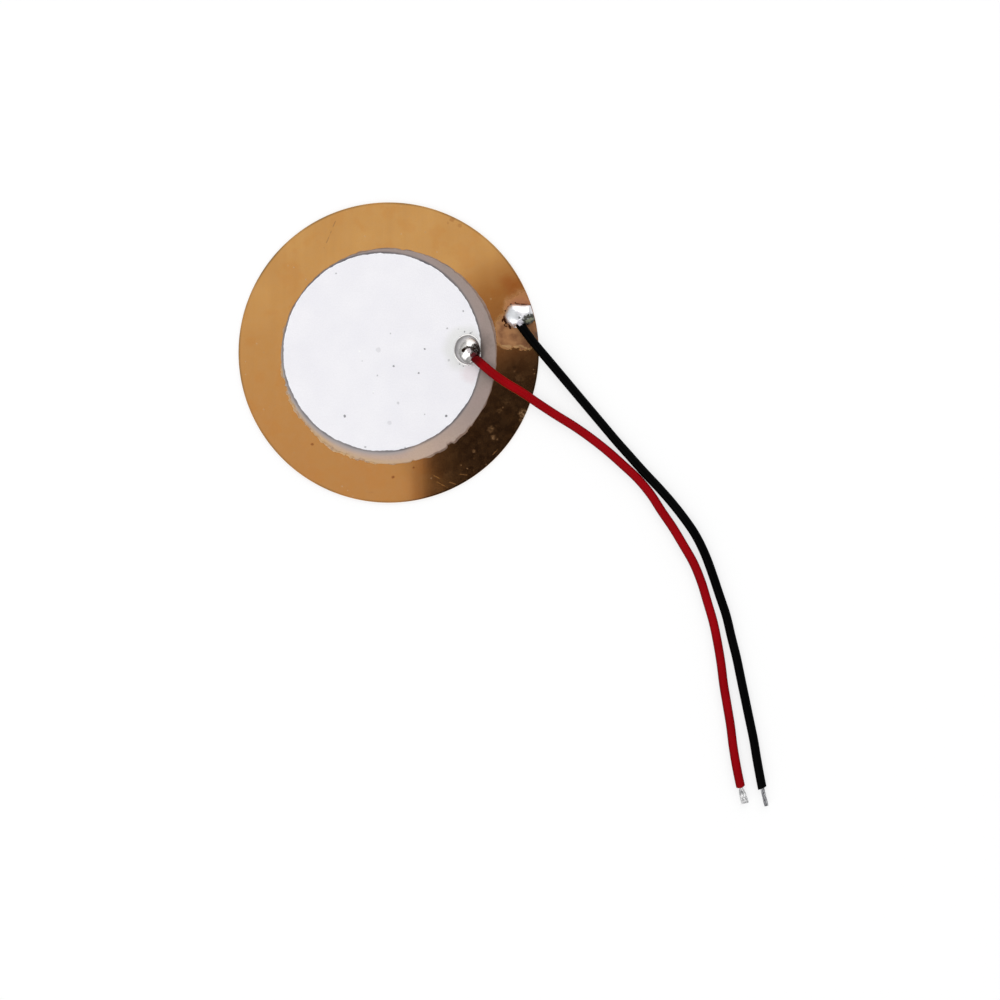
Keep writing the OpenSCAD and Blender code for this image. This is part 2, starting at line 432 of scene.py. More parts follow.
wire = strand_node("MeshToCurve", {0: given["Route"]})
wire = strand_node("ResampleCurve", {"Curve": wire, "Length": given["Spacing"]}, mode="LENGTH")
here = strand_node("SplineParameter").out("Length")
whole = strand_node("SplineLength").out("Length")
bare_start = whole - given["Bare length"]
twisted = slope(here, bare_start, whole) * given["Bare twist"]
opened = slope(here, bare_start, given["Bare length"] * 0.55 + bare_start)
opened = (given["Bare spread"] - 1) * opened + 1
angle = (here / given["Lay"] + twisted) * math.tau + given["Start angle"]
forward = strand_node("InputTangent")
across = worked("NORMALIZE", worked("CROSS_PRODUCT", forward, (0, 0, 1)))
over = worked("CROSS_PRODUCT", across, forward)
aside = across * (worked("COSINE", angle) * opened) + over * worked("SINE", angle)
wire = strand_node("SetPosition", {"Geometry": wire, "Offset": aside * given["Distance from core"]})
section = strand_node("CurvePrimitiveCircle", {"Resolution": 10, "Radius": given["Strand diameter"] / 2})
wire = strand_node("CurveToMesh", {"Curve": wire, "Profile Curve": section, "Fill Caps": True})
wire = strand_node("SetShadeSmooth", {"Geometry": wire})
wire = strand_node("RealizeInstances", {"Geometry": wire})
wire = strand_node("SetMaterial", {"Geometry": wire, "Material": given["Tin"]})
wire.feed(result, "Result")


def tinned(name, bright, dull):
    """Tinned copper wire: bright where the die drew it, dull where it was handled."""
    material, shader, place = finish(name, Metallic=1.0)
    dulled = mottled(place, 0.4, Contrast=2)
    mixed(dulled, bright, dull).feed(shader, "Base Color")
    (dulled * 0.25 + 0.2).feed(shader, "Roughness")
    bump(shader, mottled(place, 0.03, Detail=3), 0.000002)
    return material


def as_made(piece):
    """A plain mesh of a piece as its modifier makes it."""
    return bpy.data.meshes.new_from_object(piece.evaluated_get(bpy.context.evaluated_depsgraph_get()))


def lay_strand(name, node, route, tin, values):
    """One strand along a lead's route, kept as a plain mesh."""
    line = smooth_line(route, STRAND_SPACING)
    mesh = bpy.data.meshes.new(name)
    mesh.from_pydata(line.tolist(), [(k, k + 1) for k in range(len(line) - 1)], [])
    piece = new_object(name, mesh)
    modifier = piece.modifiers.new("laid_strand", "NODES")
    modifier.node_group = strand_tree
    sockets = {socket.name: socket.identifier for socket in strand_tree.interface.items_tree}
    for socket, value in {**values, "Tin": tin}.items():
        modifier[sockets[socket]] = value
    mesh = as_made(piece)
    piece.modifiers.remove(modifier)
    piece.data = mesh
    mesh.name = name
    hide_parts(node)
    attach(piece, "root")
    return piece


bright_tin = tinned("bright_tinned_strand", (222, 222, 222), (168, 168, 169))
dull_tin = tinned("dull_tinned_strand", (176, 176, 178), (112, 112, 115))
leads = {
    "red": (RED_ROUTE, bright_tin, {"Bare length": 0.002, "Bare twist": 0.16, "Bare spread": 2.3}),
    "black": (BLACK_ROUTE, dull_tin, {"Bare length": 0.0022, "Bare twist": 0.2, "Bare spread": 1.1})}
strands = {"red": [], "black": []}
for number in range(1, 8):
    laid = {"Start angle": math.radians(60 * number), "Distance from core": 0.0 if number == 1 else PITCH}
    for lead, (route, tin, tail) in leads.items():
        strands[lead].append(lay_strand(
            f"{lead}_lead_strand_{number}", f"{lead}_strand_{number}", route, tin, {**laid, **tail}))


# ---- The brass plate ----
# A disc punched from bright rolled brass sheet. The punch rounds its top edge over and leaves a rough
# band at the bottom, and the sheet keeps fine rolling lines, scratches and small dents.
PLATE_TURNS = 540
FLAT = (1, 1, 0)
# Each dent has its x and y, its radius and its depth, in millimetres.
DENTS = [
    (11.9, -9, 0.24, 0.003), (12.1, -9.9, 0.26, 0.003), (9.9, -11.5, 0.18, 0.003),
    (11.3, -11.2, 0.16, 0.002), (15.2, -7.3, 0.3, 0.004), (15.7, -8.3, 0.2, 0.003),
    (14.7, -1.9, 0.15, 0.002), (15.2, -2.5, 0.14, 0.002), (12.5, -11.7, 0.18, 0.002),
    (10.7, 14.5, 0.5, 0.004), (-9.1, -13.1, 0.3, 0.003), (8.6, -14.7, 0.18, 0.002)]
# The punched edge: how far inside the radius and below the top each ring is, in millimetres.
EDGE = [(0.04, 0), (0.02, 0.003), (0.008, 0.012), (0, 0.04), (0, 0.18), (0.012, 0.21), (0.016, 0.285)]


def round_node(node):
    """A round node's centre, radius, and the heights of its underside and top."""
    low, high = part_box(node)
    return ((low.x + high.x) / 2, (low.y + high.y) / 2), (high.x - low.x) / 2, low.z, high.z


def circle(radius, height, turns, centre=(0, 0)):
    """A ring of points. The radius may differ at each angle."""
    angles = angles_round(turns)
    ring = np.zeros((turns, 3))
    ring[:, 0] = centre[0] + radius * np.cos(angles)
    ring[:, 1] = centre[1] + radius * np.sin(angles)
    ring[:, 2] = height
    return ring


PLATE_RADIUS = round_node("brass_plate")[1]
top_radii = [0.003, 0.006, 0.009, 0.0115, *np.arange(0.0121, PLATE_RADIUS - 0.0001, 0.00016)]
rings = [circle(radius, PLATE_TOP, PLATE_TURNS) for radius in top_radii]
for ring in rings:
    for x, y, radius, depth in DENTS:
        away = (ring[:, 0] / MM - x) ** 2 + (ring[:, 1] / MM - y) ** 2
        ring[:, 2] -= depth * MM * np.exp(-away / radius ** 2)
rings += [circle(PLATE_RADIUS - inside * MM, PLATE_TOP - down * MM, PLATE_TURNS) for inside, down in EDGE]
rings += [circle(radius, 0, PLATE_TURNS) for radius in (PLATE_RADIUS - 0.00003, 0.0173, 0.015, 0.01, 0.005)]
plate = skin("punched_brass_plate", rings, [(0, 0, PLATE_TOP), (0, 0, 0)])

# A round stain or spot with a ragged edge, seen from above: 1 inside it, 0 outside.
patch, given, result = new_group("patch", {
    "Place": (0, 0, 0), "Centre": (0, 0, 0), "Radius": 0.001, "Edge": 0.0002, "Ragged": 0, "Grain": 0.0005})
torn = add(patch, "TexNoise", {"Vector": given["Place"], "Scale": 1 / given["Grain"], "Detail": 3})
away = length_of((given["Place"] - given["Centre"]) * FLAT) + (torn - 0.5) * (given["Ragged"] * 4)
slope(away, given["Radius"] - given["Edge"], given["Radius"], 1, 0).feed(result, "Result")

# A scratch from one point to another, broken up along its length: 1 on it, 0 off it.
scratch, given, result = new_group("scratch", {
    "Place": (0, 0, 0), "From": (0, 0, 0), "To": (0, 0, 0), "Width": 0.0001, "Wander": 0.00005})
drift = add(scratch, "TexNoise", {"Vector": given["Place"], "Scale": 900, "Detail": 1}).out("Color")
drifted = (given["Place"] + (drift - (0.5, 0.5, 0.5)) * given["Wander"]) * FLAT
reach = given["To"] - given["From"]
offset = drifted - given["From"]
share = worked("DOT_PRODUCT", offset, reach).out("Value") / worked("DOT_PRODUCT", reach, reach).out("Value")
share.socket.node.use_clamp = True
breaks = add(scratch, "TexNoise", {"Vector": given["Place"], "Scale": 2500, "Detail": 1})
stroke = slope(length_of(offset - reach * share), 0, given["Width"] / 2, 1, 0)
(stroke * slope(breaks, 0.35, 0.55)).feed(result, "Result")

# Specks strewn at random: a share of the cells of a Voronoi pattern hold one.
specks, given, result = new_group("specks", {
    "Place": (0, 0, 0), "Spacing": 0.001, "Size": 0.0001, "Share": 0.3})
cells = add(specks, "TexVoronoi", {"Vector": given["Place"] * FLAT, "Scale": 1 / given["Spacing"]})
chosen = add(specks, "SeparateColor", {0: cells.out("Color")})
size = given["Size"] / given["Spacing"]
spot = slope(cells.out("Distance"), size * 0.5, size, 1, 0)
(spot * worked("LESS_THAN", chosen, given["Share"])).feed(result, "Result")


def blots(place, spots, grain, edge=0, ragged=0, size=1, soft=0, torn=0):
    """Round ragged spots, each with its x, y, radius and strength, with all lengths in millimetres.

    Size, soft and torn are shares of the radius."""
    return most(*(use(patch, place, Centre=(x * MM, y * MM, 0), Radius=size * radius * MM,
                      Edge=(edge + soft * radius) * MM, Ragged=(ragged + torn * radius) * MM,
                      Grain=grain * MM) * strength for x, y, radius, strength in spots))


def scratches(place, strokes, wander=0.05):
    """Scratches, each from one x and y to another, with a width, in millimetres."""
    return most(*(use(scratch, place, From=(x * MM, y * MM, 0), To=(to_x * MM, to_y * MM, 0),
                      Width=width * MM, Wander=wander * MM) for x, y, to_x, to_y, width in strokes))


brass, shader, place = finish("rolled_brass", Specular_IOR_Level=0.2)
# The marks of use and soldering are on the upper side, so they are looked up a metre away on the other.
beneath = worked("LESS_THAN", axis(place, "Z"), PLATE_TOP - 0.0001)
marks = place + add(place.tree, "CombineXYZ", {"X": beneath, "Y": beneath})
rolling = mottled(place, 0.6, Stretch=(1, 30, 1), Detail=3)
tarnish = mottled(place, 6, Contrast=1.5)
blotches = slope(mottled(place, 2.6, Detail=3, Contrast=2), 0.55, 1)
freckles = blots(marks, [
    (-8.9, -10.7, 0.2, 1), (0.5, -14.5, 0.22, 1), (2.9, -13.4, 0.16, 1), (7.4, 15.5, 0.34, 0.45),
    (8.3, 14.8, 0.3, 0.35), (6.9, 15.1, 0.2, 0.3)],
    0.3, edge=0.12, ragged=0.06)
freckles = most(freckles, use(specks, place, Spacing=0.0024, Size=0.00016, Share=0.15) * 0.6)
# An orange heat tint at the upper right, partly painted reflection.
orange = blots(marks, [(14.3, 7.9, 1.9, 0.5)], 1.4, edge=1.6, ragged=0.4)
rim = slope(length_of(place * FLAT), PLATE_RADIUS - 0.0003, PLATE_RADIUS - 0.00006)
long_scratch = scratches(marks, [(-6.2, 15.3, -7.5, 12.2, 0.16)])
scored = most(long_scratch, scratches(marks, [
    (5.2, -14.3, 6.1, -14.8, 0.08), (7.1, -15.1, 8.2, -15.5, 0.08), (5.6, -15.1, 6.8, -15.7, 0.08),
    (7.9, -14.1, 9.3, -14.3, 0.08), (12.1, -11.9, 12.7, -11.3, 0.08), (-3, -16.2, -1.8, -16.3, 0.08)]))
# Dust and dull places show most where the metal mirrors something dark.
dust = use(specks, place + (0.0007, 0.0003, 0), Spacing=0.0007, Size=0.00014, Share=0.3)
dust = dust * mottled(place, 2.5, Contrast=3)
smudges = blots(marks, [
    (11.9, -9, 0.6, 0.7), (12.2, -9.9, 0.45, 0.9), (9.9, -11.5, 0.28, 0.9), (10.6, -10.4, 0.3, 0.5),
    (15.8, -7.1, 0.8, 1.3), (15.5, -7.9, 0.4, 1.1), (13.8, -5.7, 0.9, 0.25), (15.2, -3, 0.8, 0.35),
    (13.1, -11.7, 0.4, 0.4), (7.1, -14.2, 0.8, 0.25), (14.6, -2.2, 0.2, 0.9), (12.9, -6.8, 0.5, 0.4)],
    0.6, soft=0.7, torn=0.25)
smudges = smudges * mottled(place, 0.3, Detail=3, Contrast=1.8)
film = mottled(place, 0.6, Detail=5, Contrast=3)
dust = most(dust * 0.3, smudges * 0.4, film * 0.03, scored * 0.12)
# Soldering left a dull pinkish patch of oxide and flux round the black lead's joint, ragged in front.
burnt = most(*(blots(marks, spots, 1.1, edge=edge, ragged=0.4) for edge, spots in (
    (0.6, [(14.3, 2, 2.2, 1), (15.6, 2.2, 2.3, 1)]), (1.4, [(15.4, 5.1, 2.6, 1)]),
    (0.9, [(13.4, 3.6, 1.3, 1)]))))
front_edge = mottled(place, 0.6, Detail=3) * 0.0007 + axis(place, "Y")
patchy = mottled(place, 0.9, Detail=3, Contrast=2)
burnt = burnt * slope(front_edge, 0.0006, 0.0009) * (patchy * 0.25 + 0.75)
dull = painted(
    mixed(patchy, (158, 112, 78), (132, 88, 56)),
    (slope(axis(place, "X"), 0.0148, 0.0172) * 0.5, (120, 76, 52)),
    (slope(axis(place, "Y"), 0.0034, 0.0056) * 0.75, (170, 110, 78)))
# Bits of flux with painted glints: a light broken line along the patch's front edge.
crumbs_and_glints = scratches(marks, [(12.5, 0.85, 16.9, 0.45, 0.5)], 0.9) * 0.6
# A dark grey spot at the plate's rim, right of the black lead.
dark_rim_spot = blots(marks, [(17.3, 2.1, 0.55, 0.7)], 0.5, edge=0.4, ragged=0.2)
# Charred flux with painted shadow in a line along the joint's rear side, and charred flux in strokes and
# spots at its left.
char_and_shadow_line = scratches(marks, [(14.7, 5.68, 16.6, 5.56, 0.32)], 0.08) * 0.9
char_strokes = scratches(marks, [
    (13.52, 4.2, 13.52, 3.7, 0.42), (13.52, 3.7, 13.72, 3.3, 0.9), (14.08, 3.12, 14.16, 2.92, 0.42)], 0.3)
char_spots = blots(marks, [
    (13.53, 3.65, 0.16, 1), (14.1, 3.02, 0.14, 1), (13.6, 4.86, 0.12, 1), (13.9, 5.3, 0.12, 1),
    (14.26, 5.66, 0.11, 1), (14.77, 5.81, 0.1, 1)],
    0.3, edge=0.06, ragged=0.08)
char_and_shadow = most(char_and_shadow_line, slope(char_strokes, 0.05, 0.35), char_spots)
painted(
    mixed(slope(axis(place, "Y"), 0.017, -0.017), (203, 153, 90), (184, 128, 73)),
    (tarnish * 0.5, (188, 135, 76)), (rolling * 0.2, (178, 128, 72)), (blotches * 0.18, (190, 122, 54)),
    (freckles * 0.7, (128, 66, 30)), (orange, (178, 98, 38)), (rim * (tarnish * 0.5 + 0.2), (112, 90, 58)),
    (long_scratch * 0.7, (128, 88, 48)), (dust, (198, 172, 142)), (burnt, dull), (crumbs_and_glints, (196, 158, 108)),
    (dark_rim_spot, (92, 76, 68)), (char_and_shadow, (52, 23, 8))).feed(shader, "Base Color")
dull_share = most(burnt * 0.85, dust, crumbs_and_glints) * (1 - char_and_shadow)
(1 - dull_share).feed(shader, "Metallic")
most(tarnish * 0.04 + 0.05, burnt * 0.55, scored * 0.24, char_and_shadow * 0.6).feed(shader, "Roughness")
wave = mottled(place, 4, Stretch=(1, 3, 1), Detail=1)
crust = burnt * mottled(place, 0.4, Detail=4)
bump(shader, wave * 0.25 + rolling * 0.02 - scored * 0.3 + crust * 0.8, 0.000008)
plate.data.materials.append(brass)
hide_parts("brass_plate")
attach(plate, "root")


# ---- The glue under the ceramic ----
# A thin film of epoxy joins the ceramic to the plate. A little of it is squeezed out all round, in an
# uneven bead that climbs the ceramic's edge.
_, _, film_low, film_top = round_node("bond_film")
CERAMIC_CENTRE, CERAMIC_RADIUS, ceramic_low, CERAMIC_TOP = round_node("ceramic_disc")
DISC_TURNS = 720
disc_angles = angles_round(DISC_TURNS)


def wobble(angles, waves, seed):
    """Uneven values from about -1 to 1 round a circle, in about so many smooth waves."""
    reach = waves / math.tau
    return np.array([noise.noise(Vector((math.cos(a) * reach, math.sin(a) * reach, seed))) for a in angles])


def around(angles, known):
    """Sizes in millimetres at a few angles in degrees, joined smoothly round the circle."""
    places, sizes = np.array(known).T
    joined = np.interp(np.degrees(angles), places, sizes * MM, period=360)
    window = np.hanning(len(angles) // 24 * 2 + 1)
    padded = np.concatenate([joined, joined, joined])
    return np.convolve(padded, window / window.sum(), "same")[len(angles):2 * len(angles)]


def stacked(name, centre, levels, last_height):
    """A closed disc of rings, each with its radius and height, from its top to its flat underside."""
    rings = [circle(radius, height, DISC_TURNS, centre) for radius, height in levels]
    return skin(name, rings, [(*centre, levels[0][1]), (*centre, last_height)])


# The ceramic's edge is nibbled, and the glue follows it. Each chip has its angle and its width in degrees,
# and its depth in millimetres.
chip_list = [(304.6, 1.6, 0.28), (311, 2.2, 0.12), (318, 1.4, 0.1), (296, 1.2, 0.08), (283, 0.8, 0.1)]
dice = np.random.default_rng(11)
for angle in np.arange(194, 262, 4.4):
    chip_list.append((angle + dice.uniform(-1.2, 1.2), dice.uniform(1.0, 2.1), dice.uniform(0.08, 0.22)))
for angle in np.arange(0, 196, 9):
    chip_list.append((angle + dice.uniform(-3, 3), dice.uniform(0.5, 1.4), dice.uniform(0.02, 0.07)))
chips = np.zeros(DISC_TURNS)
for angle, width, depth in chip_list:
    away = ((np.degrees(disc_angles) - angle + 180) % 360 - 180) / width
    chips = np.maximum(chips, depth * MM * np.clip(1.5 - 0.9 * np.abs(away) ** 2.5 + 0.35 * away, 0, 1))
bead = around(disc_angles, [
    (0, 0.1), (15, 0.22), (28, 0.4), (40, 0.18), (70, 0.1), (95, 0.16), (130, 0.06), (190, 0.12), (215, 0.26),
    (240, 0.22), (265, 0.1), (300, 0.14), (316, 0.18), (330, 0.1)])
steps = np.round(6 * wobble(disc_angles, 75, 3)) / 6
ragged = 0.00009 + 0.00016 * np.clip(np.cos(disc_angles - math.radians(228)), 0, 1)
bead = np.maximum(0.00004, bead + ragged * (steps + wobble(disc_angles, 34, 7)))
glued = CERAMIC_RADIUS - 0.8 * chips
glue = stacked("epoxy_bond", CERAMIC_CENTRE, [
    (CERAMIC_RADIUS - 0.0004, film_top), (CERAMIC_RADIUS - 0.0002, film_top),
    (glued - 0.00002, film_top + 0.00008), (glued + bead * 0.3, film_top + 0.00005),
    (glued + bead * 0.7, film_top + 0.00001), (glued + bead, film_low)], film_low)
epoxy, shader, place = finish("grey_epoxy", Roughness=0.35, Specular_IOR_Level=0.3)
clouds = mottled(place, 1.5, Contrast=1.8)
front_left = slope((axis(place, "X") + axis(place, "Y")) * -0.7, 0.003, 0.0095)
# Painted shade: the glue is grey-brown and darker at the back and right, and ochre at the front left.
ochre = mixed(clouds, (190, 160, 132), (210, 172, 122))
colour = mixed(front_left, mixed(clouds, (128, 108, 98), (150, 126, 110)), ochre)
darker = mottled(place, 0.4, Contrast=2.5)
mixed(darker * 0.35, colour, (140, 104, 84)).feed(shader, "Base Color")
bump(shader, darker, 0.00001)
glue.data.materials.append(epoxy)
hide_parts("bond_film")
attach(glue, "root")


# ---- The lower electrode ----
# Silver paste fired over the ceramic's whole underside. The glue presses it onto the plate, and the glue's
# bead closes it in all round, so it doesn't show.
_, back_radius, back_low, back_top = round_node("lower_electrode")
back_edge = back_radius - 0.00002 - 0.8 * chips
back = stacked("silver_underlayer", CERAMIC_CENTRE, [
    (0.008, back_top), (back_edge, back_top), (back_edge, back_low), (0.008, back_low)], back_low)
silver_back, shader, place = finish("fired_silver_back", Metallic=0.8, Roughness=0.5)
clouds = mottled(place, 0.8, Contrast=1.5)
mixed(clouds, (205, 203, 204), (180, 177, 178)).feed(shader, "Base Color")
bump(shader, clouds, 0.000003)
back.data.materials.append(silver_back)
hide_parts("lower_electrode")
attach(back, "root")


# ---- The ceramic disc ----
# Pressed and fired lead zirconate titanate, unglazed, 0.2 mm thick. Its edge is brittle: the top corner is
# nibbled where the discs were tumbled and handled, most of all at the lower left.
rim = CERAMIC_RADIUS + 0.00003 * wobble(disc_angles, 60, 1) + 0.00002 * wobble(disc_angles, 160, 5)
lip = 0.00003 + 0.3 * chips
level_rings = (0.004, 0.008, 0.0105, 0.0112, 0.0118, rim - chips - lip - 0.0001, rim - chips - lip)
ceramic = stacked("ceramic_wafer", CERAMIC_CENTRE, [
    *((radius, CERAMIC_TOP) for radius in level_rings),
    (rim - chips, CERAMIC_TOP - 0.00002 - 0.2 * chips),
    (rim - 0.8 * chips, CERAMIC_TOP - 0.00006 - 0.2 * chips),
    (rim - 0.7 * chips, ceramic_low + 0.00003), (rim - 0.7 * chips - 0.00002, ceramic_low),
    (0.008, ceramic_low)], ceramic_low)

PRINT_CENTRE, PRINT_RADIUS, _, PRINT_TOP = round_node("upper_electrode")
fired, shader, place = finish("unglazed_ceramic", Roughness=0.5, Specular_IOR_Level=0.25)
around_it = place - (*CERAMIC_CENTRE, 0)
across, north = axis(around_it, "X"), axis(around_it, "Y")
from_print = length_of((place - (*PRINT_CENTRE, 0)) * FLAT)
front_left = slope((across + north) * -0.7, 0.004, 0.0105)
clouds = mottled(place, 3, Contrast=1.6)
grain = mottled(place, 0.15, Detail=3, Contrast=1.6)
outer_band = slope(length_of(around_it * FLAT), CERAMIC_RADIUS - 0.0007, CERAMIC_RADIUS - 0.00015)
inner_band = slope(from_print, PRINT_RADIUS + 0.0002, PRINT_RADIUS + 0.0008, 0.75, 0)
# Painted shade: a dark band on the ceramic along the print's edge, and a dark patch with a fainter, wider one
# beside the red lead's joint.
print_edge_shade = slope(from_print, PRINT_RADIUS + 0.00006, PRINT_RADIUS + 0.00034, 1, 0)
joint_shade = blots(place, [(10.8, 0.3, 1.6, 1)], 0.5, edge=1.3, ragged=0.2)
joint_shade = joint_shade * slope(from_print, PRINT_RADIUS + 0.0001, PRINT_RADIUS + 0.0007, 0.9, 0)
wide_joint_shade = blots(place, [(10.5, 1, 2.2, 0.55)], 0.5, edge=1.6, ragged=0.3)
# Painted shade: the ceramic is greyer and darker towards the upper right, paler and warmer towards the lower
# left.
painted(
    mixed(slope(across * 0.85 + north, 0.004, -0.011), (158, 143, 136), (200, 174, 155)),
    (clouds * 0.3, (178, 152, 148)), (grain * 0.12, (120, 105, 98)),
    (outer_band * front_left * (clouds * 0.5 + 0.4), (206, 172, 128)),
    (inner_band * slope(front_left, 0, 0.5, 0.1), (160, 158, 162)),
    (print_edge_shade * (clouds * 0.35 + 0.6) * (front_left * -0.3 + 1), (88, 88, 94)), (joint_shade, (58, 50, 46)),
    (wide_joint_shade, (104, 92, 86))).feed(shader, "Base Color")
(grain * 0.2 + 0.42).feed(shader, "Roughness")
bump(shader, grain + clouds, 0.000006)
ceramic.data.materials.append(fired)
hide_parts("ceramic_disc")
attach(ceramic, "root")


# ---- The upper electrode ----
# Silver paste screen-printed on the ceramic and fired to a matt white skin. It is a little off centre, its
# edge follows the screen's mesh, and bubbles in the paste have left small pits.
outline = PRINT_RADIUS + 0.00008 * wobble(disc_angles, 60, 21) + 0.00006 * wobble(disc_angles, 170, 23)
upper = stacked("printed_silver_electrode", PRINT_CENTRE, [
    *((radius, PRINT_TOP) for radius in (0.003, 0.006, 0.009, 0.011, outline - 0.00008)),
    (outline - 0.00003, PRINT_TOP - 0.000003), (outline, PRINT_TOP - 0.000012), (outline, CERAMIC_TOP),
    (0.006, CERAMIC_TOP)], CERAMIC_TOP)
silver, shader, place = finish("fired_silver", Metallic=0.15, Roughness=0.5)
clouds = mottled(place, 4, Contrast=1.5)
fine = mottled(place, 0.18, Detail=3, Contrast=1.5)
flux = blots(place, [(8.8, 0.4, 3.1, 0.5)], 2, edge=1.4, ragged=0.3)
pink = blots(place, [(9.6, -2.4, 1.6, 0.5)], 0.5, edge=1, ragged=0.2)
bright = use(specks, place, Spacing=0.0019, Size=0.00016, Share=0.25)
dust = use(specks, place + (0.0004, 0.0011, 0), Spacing=0.0015, Size=0.00012, Share=0.25)
pits = blots(place, [
    (4.2, 0.4, 0.16, 0.75), (0.6, -1.6, 0.17, 0.7), (3.5, -2.4, 0.16, 0.65), (-5.1, -7.4, 0.2, 0.75),
    (6.7, -7.4, 0.19, 0.85), (8.7, 4.8, 0.15, 0.6), (-6.1, 9.2, 0.15, 0.5), (1.1, -5.9, 0.2, 0.25),
    (6.8, 2.8, 0.14, 0.5), (4.2, -7.2, 0.13, 0.5), (-1.3, -2.7, 0.14, 0.4), (0.2, 2.2, 0.13, 0.4),
    (-2.7, -11, 0.18, 0.4), (1.9, -11.1, 0.17, 0.4), (0.1, -8.2, 0.3, 0.15), (-1.2, 0.3, 0.35, 0.14),
    (7, -0.9, 0.18, 0.3), (8.1, 2.7, 0.1, 0.5), (8.85, 2.42, 0.13, 0.75), (9.5, 2.22, 0.15, 0.7),
    (9.72, 2.38, 0.12, 0.6), (8.36, 1.8, 0.12, 0.7), (8.3, -1.35, 0.12, 0.8), (8.7, -1.6, 0.11, 0.6)],
    0.25, edge=0.1, ragged=0.05)
painted(
    mixed(clouds, (247, 246, 250), (243, 242, 247)), (fine * 0.12, (214, 212, 218)), (flux, (219, 220, 214)),
    (pink, (232, 216, 220)), (bright, (253, 253, 254)), (dust * 0.3, (150, 150, 154)),
    (pits, (70, 70, 76))).feed(shader, "Base Color")
(fine * 0.15 + 0.42).feed(shader, "Roughness")
bump(shader, fine + clouds - pits * 2, 0.000005)
upper.data.materials.append(silver)
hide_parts("upper_electrode")
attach(upper, "root")


# ---- The solder joints ----
# Tin solder, melted over each lead's end with an iron. The electrode's joint is a tall round bead with a
# small lump where the strands end; the plate's is a flatter one, cut off straight along its rear side.
SOLDER_TURNS = 160
ELECTRODE_PEAK = np.array((0.00928, 0.0005))
PLATE_PEAK = np.array((0.01525, 0.00425))
PLAY = 0.00002
SOCKET_REACH = 0.0045
turns_round = angles_round(SOLDER_TURNS)
outwards = np.column_stack([np.cos(turns_round), np.sin(turns_round)])


def relief(x, y, humps, creases):
    """How high humps and creases make a surface stand at a point, all in millimetres."""
    height = sum(top * math.exp(-((x - a) ** 2 + (y - b) ** 2) / radius ** 2) for a, b, radius, top in humps)
    for width, depth, path in creases:
        nearest = min(math.hypot(x - a - (c - a) * t, y - b - (d - b) * t)
                      for (a, b), (c, d) in zip(path, path[1:]) for t in (0, 0.25, 0.5, 0.75, 1))
        height -= depth * math.exp(-((nearest / width) ** 2))
    return height


def solder_bead(name, foot, peak, base, top, profile, humps, creases):
    """A bead of solder: rings from its peak out to its foot, with humps and creases."""
    height = top - base
    rings = []
    for share in [*np.sin(np.linspace(0.03, math.pi / 2, 50)) * 0.985, 0.994, 1]:
        bulge = height * profile(share)
        flat = peak + (foot - peak) * share
        fade = np.minimum(1, bulge / height * 2)
        wave = [MM * relief(x / MM, y / MM, humps, creases) + 0.000006 * noise.noise(Vector((x, y, 0)) * 1100)
                for x, y in flat]
        rings.append(np.column_stack([flat, base + bulge + fade * wave]))
    summit = base + height + MM * relief(*peak / MM, humps, creases)
    return skin(name, rings, [(*peak, summit), (*peak, base)])


def dig_socket(bead, route):
    """Cuts a lead's place out of a bead: wide for its sleeve and narrow for its strands."""
    line = smooth_line(route, 0.0002)
    sleeve_start = math.dist(*route[:2])
    forward, across, over = level_frame(line)
    angles = angles_round(SLEEVE_TURNS)
    run = run_of(line)
    for radius, first, last in ((STRAND * 0.5 + PITCH + 0.00001, -PLAY, sleeve_start + 0.0002),
                                (SLEEVE / 2 + 0.000002, sleeve_start - PLAY, SOCKET_REACH)):
        rings = []
        for place in np.linspace(first, last, 30):
            centre, side, up = (read_at(place, run, values) for values in (line, across, over))
            centre = centre + forward[0] * min(place, 0)
            rings.append(centre + radius * (np.outer(np.cos(angles), side) + np.outer(np.sin(angles), up)))
        cutter = skin("socket_cutter", rings, [rings[0].mean(axis=0), rings[-1].mean(axis=0)])
        cut = bead.modifiers.new("socket", "BOOLEAN")
        cut.operation = "DIFFERENCE"
        cut.solver = "EXACT"
        cut.object = cutter
        shaped = as_made(bead)
        bead.modifiers.remove(cut)
        bead.data = shaped
        bpy.data.objects.remove(cutter)
    clean(bead.data, turn_faces=False)


def electrode_profile(share):
    """Round towards the lead and a blunt cone on the far side, over a thin apron at the foot."""
    to_lead = 0.5 + 0.5 * np.cos(turns_round + math.radians(48))
    apron = 0.022 * min(1, (1 - share) / 0.05)
    inner, blunt = min(1, share / 0.95), 0.8
    cone = (math.hypot(1, blunt) - math.hypot(inner, blunt)) / (math.hypot(1, blunt) - blunt)
    return apron + 0.978 * (to_lead * (1 - inner ** 2) ** 0.5 + (1 - to_lead) * cone)


# The electrode's bead stands on an uneven oval, deeper than wide, round the start of the red lead.
uneven = 1 + 0.02 * wobble(turns_round, 9, 31)
half_width = (0.00156 - 0.00004 * np.cos(turns_round)) * uneven
half_depth = 0.0018 * uneven
foot = RED_ROUTE[0][:2] + np.column_stack([half_width, half_depth]) * outwards
electrode_bead = solder_bead(
    "electrode_solder_bead", foot, ELECTRODE_PEAK, PRINT_TOP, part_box("electrode_solder")[1].z,
    electrode_profile,
    [(8.9, -0.3, 0.6, 0.01), (9.45, -1.05, 0.4, -0.22)],
    [(0.13, 0.02, [(8.65, 0.12), (8.8, 0.34), (9.2, 0.48), (9.9, 0.44)]),
     (0.2, 0.06, [(9.9, 0.7), (10.1, 0.4), (10.3, 0)])])
dig_socket(electrode_bead, RED_ROUTE)

